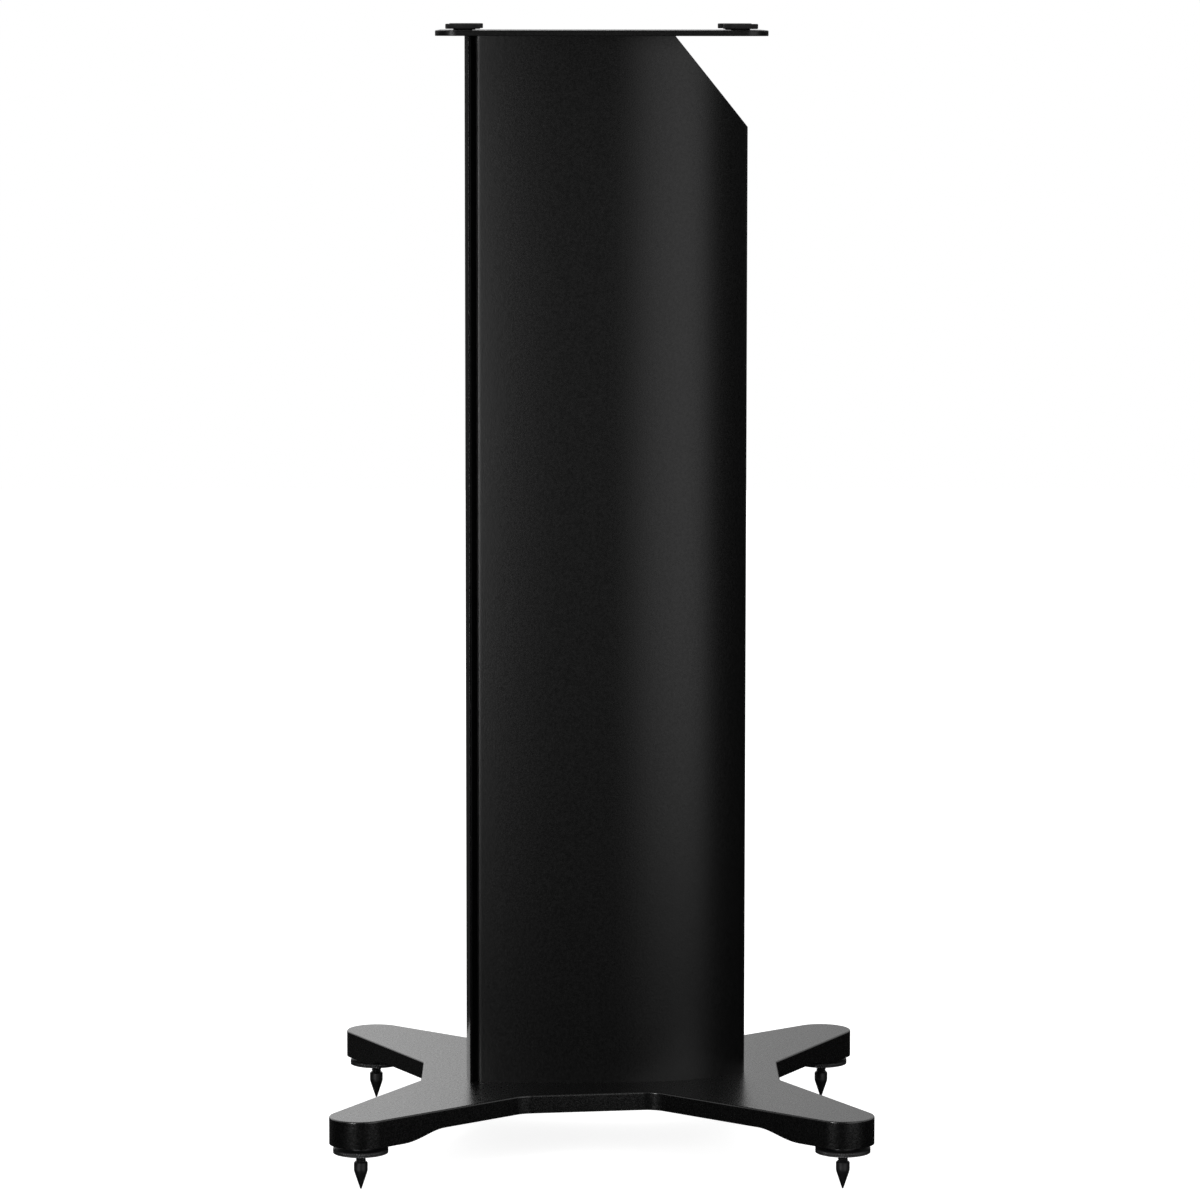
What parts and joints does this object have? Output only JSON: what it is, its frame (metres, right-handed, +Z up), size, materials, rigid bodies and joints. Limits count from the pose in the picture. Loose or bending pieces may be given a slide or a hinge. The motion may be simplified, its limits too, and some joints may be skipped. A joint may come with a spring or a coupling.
{
  "type": "speaker stand",
  "caption": "Floor stand for a bookshelf speaker: X-shaped plinth on levelling spikes, leaf-shaped column with a cable duct, and a top plate with rubber pads.",
  "frame": {"origin": "on the floor, under the middle of the four spikes, at the tips' height", "axes": "+Z up, -Y towards the front of the stand (the listener), +X to the right when seen from the front"},
  "size_m": [0.274, 0.294, 0.6245],
  "materials": {
    "plinth_satin_black": "satin black powder coat on cast iron",
    "column_satin_black": "satin black powder coat on extruded aluminium",
    "trim_black": "smooth satin black",
    "plate_satin_black": "satin black powder coat on steel",
    "steel_black": "turned steel, blackened",
    "steel_zinc": "zinc plated",
    "brass": "turned brass",
    "rubber_black": "matt black rubber"
  },
  "bodies": {
    "stand": {"base_plinth": "plinth_satin_black", "column_shell": "column_satin_black", "front_trim": "trim_black", "top_plate": "plate_satin_black", "speaker_pad_front_left": "rubber_black", "speaker_pad_front_right": "rubber_black", "speaker_pad_rear_left": "rubber_black", "speaker_pad_rear_right": "rubber_black", "thread_insert_front_left": "brass", "thread_insert_front_right": "brass", "thread_insert_rear_left": "brass", "thread_insert_rear_right": "brass", "base_screw_front_left": "steel_zinc", "base_screw_front_right": "steel_zinc", "base_screw_rear_left": "steel_zinc", "base_screw_rear_right": "steel_zinc", "base_washer_front_left": "steel_zinc", "base_washer_front_right": "steel_zinc", "base_washer_rear_left": "steel_zinc", "base_washer_rear_right": "steel_zinc", "plate_screw_front_left": "steel_black", "plate_screw_front_right": "steel_black", "plate_screw_rear_left": "steel_black", "plate_screw_rear_right": "steel_black"},
    "spike_front_left": {"spike_front_left": "steel_black"},
    "lock_nut_front_left": {"lock_nut_front_left": "steel_black"},
    "spike_front_right": {"spike_front_right": "steel_black"},
    "lock_nut_front_right": {"lock_nut_front_right": "steel_black"},
    "spike_rear_left": {"spike_rear_left": "steel_black"},
    "lock_nut_rear_left": {"lock_nut_rear_left": "steel_black"},
    "spike_rear_right": {"spike_rear_right": "steel_black"},
    "lock_nut_rear_right": {"lock_nut_rear_right": "steel_black"}
  },
  "joints": [
    {"name": "spike_height_front_left", "type": "slide", "parent": "stand", "child": "spike_front_left", "axis": [0, 0, 1], "range_m": [-0.0035, 0.0042]},
    {"name": "lock_nut_turn_front_left", "type": "hinge", "parent": "stand", "child": "lock_nut_front_left", "pos_m": [-0.12, -0.13, 0.02125], "axis": [0, 0, 1], "continuous": true},
    {"name": "spike_height_front_right", "type": "slide", "parent": "stand", "child": "spike_front_right", "axis": [0, 0, 1], "range_m": [-0.0035, 0.0042]},
    {"name": "lock_nut_turn_front_right", "type": "hinge", "parent": "stand", "child": "lock_nut_front_right", "pos_m": [0.12, -0.13, 0.02125], "axis": [0, 0, 1], "continuous": true},
    {"name": "spike_height_rear_left", "type": "slide", "parent": "stand", "child": "spike_rear_left", "axis": [0, 0, 1], "range_m": [-0.0035, 0.0042]},
    {"name": "lock_nut_turn_rear_left", "type": "hinge", "parent": "stand", "child": "lock_nut_rear_left", "pos_m": [-0.12, 0.13, 0.02125], "axis": [0, 0, 1], "continuous": true},
    {"name": "spike_height_rear_right", "type": "slide", "parent": "stand", "child": "spike_rear_right", "axis": [0, 0, 1], "range_m": [-0.0035, 0.0042]},
    {"name": "lock_nut_turn_rear_right", "type": "hinge", "parent": "stand", "child": "lock_nut_rear_right", "pos_m": [0.12, 0.13, 0.02125], "axis": [0, 0, 1], "continuous": true}
  ]
}
